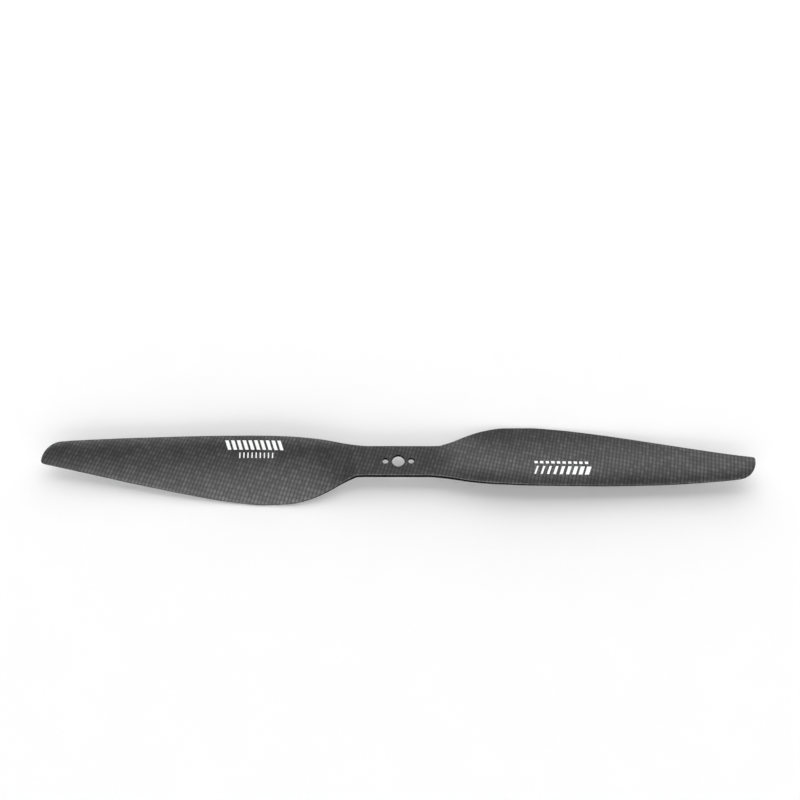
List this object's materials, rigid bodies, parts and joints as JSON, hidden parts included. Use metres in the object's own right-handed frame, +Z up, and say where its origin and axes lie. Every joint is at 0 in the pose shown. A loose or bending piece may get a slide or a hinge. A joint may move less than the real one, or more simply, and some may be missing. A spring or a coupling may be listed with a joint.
{
  "type": "propeller",
  "caption": "Fixed-pitch two-blade multirotor propeller in woven carbon, with a flat hub bar drilled for a centre boss and motor screws.",
  "frame": {"origin": "on the bore's axis, at the height of the surface the propeller lies on, under the middle of its box", "axes": "+X from the bore to the right blade's tip, +Z up along the bore, out of the face that the blades thrust towards; the right blade's leading edge faces -Y"},
  "size_m": [0.3302, 0.038, 0.0085],
  "materials": {
    "woven_carbon": "plain weave of black carbon tows under a thin satin resin film",
    "unidirectional_carbon": "straight black fibres in cured resin, dull",
    "solid_laminate": "drilled black carbon laminate with fine ply lines",
    "foam_core": "fine closed-cell rigid foam, matte",
    "carbon_tow": "black fibre bundle wetted with resin",
    "filled_resin": "dark cured bonding resin",
    "white_print": "thin white screen-printed ink"
  },
  "bodies": {
    "root": {"upper_skin": "woven_carbon", "lower_skin": "woven_carbon", "upper_spar_cap": "unidirectional_carbon", "lower_spar_cap": "unidirectional_carbon", "hub_block": "solid_laminate", "right_blade_core": "foam_core", "left_blade_core": "foam_core", "right_leading_edge_tow": "carbon_tow", "left_leading_edge_tow": "carbon_tow", "right_trailing_edge_strip": "filled_resin", "left_trailing_edge_strip": "filled_resin"}
  },
  "joints": []
}
